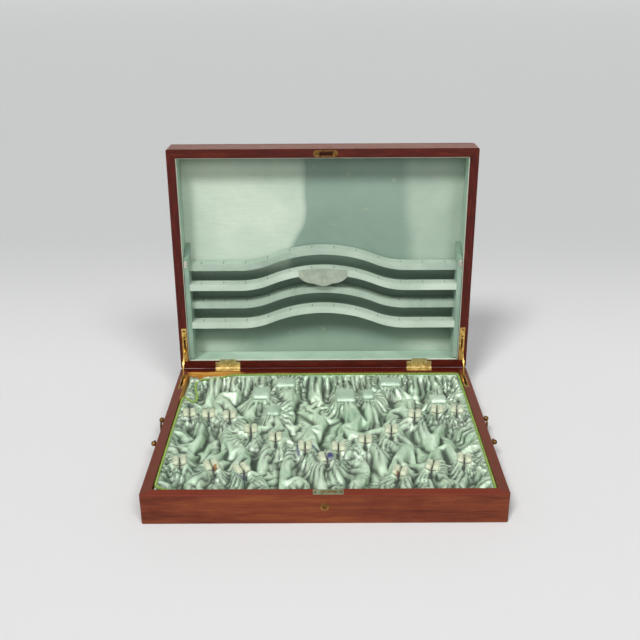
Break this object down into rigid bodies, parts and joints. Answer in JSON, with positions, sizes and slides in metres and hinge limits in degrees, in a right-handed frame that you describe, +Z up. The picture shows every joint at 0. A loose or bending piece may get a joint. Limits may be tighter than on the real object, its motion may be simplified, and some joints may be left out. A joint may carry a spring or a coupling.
{
  "type": "silverware chest",
  "caption": "Low mahogany silverware chest, lid open, with brass hinges, stays, lock and drop handles, a gathered satin fitting and an arched knife rack in the lid.",
  "frame": {"origin": "centre of the underside of the base", "axes": "+X to the right along the length, +Y to the hinges at the rear, +Z up"},
  "size_m": [0.5878, 0.4925, 0.4819],
  "materials": {
    "mahogany": "french polished mahogany",
    "deal": "bare softwood",
    "brass": "aged lacquered brass",
    "nickel": "worn nickel plate",
    "satin": "gathered pale green satin",
    "pad_silk": "cream green silk over padding",
    "lid_silk": "ribbed green silk on card",
    "rack_silk": "pale green silk over wood",
    "panel_card": "plain silk on card",
    "cord": "twisted green silk cord"
  },
  "bodies": {
    "base": {"base_bottom": "deal", "base_front": "mahogany", "base_left": "mahogany", "base_rear": "mahogany", "base_right": "mahogany", "bowl_rests": "pad_silk", "escutcheon": "brass", "fitting_board": "deal", "handle_posts_left": "brass", "handle_posts_right": "brass", "hinge_base_leaf_left": "brass", "hinge_base_leaf_right": "brass", "hinge_base_screws": "brass", "hinge_pins": "brass", "holders_front_row": "pad_silk", "holders_middle_row": "pad_silk", "holders_rear_row": "pad_silk", "lining_cord": "cord", "lock_case": "brass", "lock_screws": "brass", "lock_selvage": "brass", "satin_lining": "satin", "stay_base_plate_left": "brass", "stay_base_plate_right": "brass", "stay_base_screws": "brass"},
    "lid": {"hinge_lid_leaf_left": "brass", "hinge_lid_leaf_right": "brass", "hinge_lid_screws": "brass", "lid_back_lining": "lid_silk", "lid_front": "mahogany", "lid_left": "mahogany", "lid_lining_front": "lid_silk", "lid_lining_left": "lid_silk", "lid_lining_rear": "lid_silk", "lid_lining_right": "lid_silk", "lid_rear": "mahogany", "lid_right": "mahogany", "lid_top": "mahogany", "rack_pivots": "nickel", "stay_lid_plate_left": "brass", "stay_lid_plate_right": "brass", "stay_lid_screws": "brass", "stay_pivot_pins": "brass", "strike_plate": "brass", "strike_screws": "brass"},
    "rack": {"name_panel": "panel_card", "rack_bar_lower_back": "rack_silk", "rack_bar_lower_front": "rack_silk", "rack_bar_upper_back": "rack_silk", "rack_bar_upper_front": "rack_silk", "rack_catch_left": "nickel", "rack_catch_right": "nickel", "rack_rail_left": "rack_silk", "rack_rail_right": "rack_silk"},
    "stay_arm_left": {"stay_arm_left": "brass"},
    "stay_arm_right": {"stay_arm_right": "brass"},
    "bail_left": {"bail_left": "brass"},
    "bail_right": {"bail_right": "brass"},
    "lock_hook": {"lock_hook": "brass"}
  },
  "joints": [
    {"name": "lid_hinge", "type": "hinge", "parent": "base", "child": "lid", "pos_m": [0, 0.215, 0.052], "axis": [1, 0, 0], "range_deg": [0, 91.14]},
    {"name": "rack_tilt", "type": "hinge", "parent": "lid", "child": "rack", "pos_m": [0, 0.22548, 0.0758], "axis": [-1, 0, 0], "range_deg": [-20, 0]},
    {"name": "stay_arm_left_pivot", "type": "hinge", "parent": "lid", "child": "stay_arm_left", "pos_m": [-0.2695, 0.21879, 0.09193], "axis": [1, 0, 0], "range_deg": [-91.14, 0]},
    {"name": "stay_arm_right_pivot", "type": "hinge", "parent": "lid", "child": "stay_arm_right", "pos_m": [0.2695, 0.21879, 0.09193], "axis": [1, 0, 0], "range_deg": [-91.14, 0]},
    {"name": "bail_left_swing", "type": "hinge", "parent": "base", "child": "bail_left", "pos_m": [-0.2893, 0, 0.0364], "axis": [0, 1, 0], "range_deg": [-12, 170]},
    {"name": "bail_right_swing", "type": "hinge", "parent": "base", "child": "bail_right", "pos_m": [0.2893, 0, 0.0364], "axis": [0, -1, 0], "range_deg": [-12, 170]},
    {"name": "lock_hook_turn", "type": "hinge", "parent": "base", "child": "lock_hook", "pos_m": [0.001, -0.2064, 0.0395], "axis": [0, -1, 0], "range_deg": [0, 100]}
  ],
  "couplings": [
    {"joint": "stay_arm_left_pivot", "follows": "lid_hinge", "ratio": -1},
    {"joint": "stay_arm_right_pivot", "follows": "lid_hinge", "ratio": -1}
  ]
}
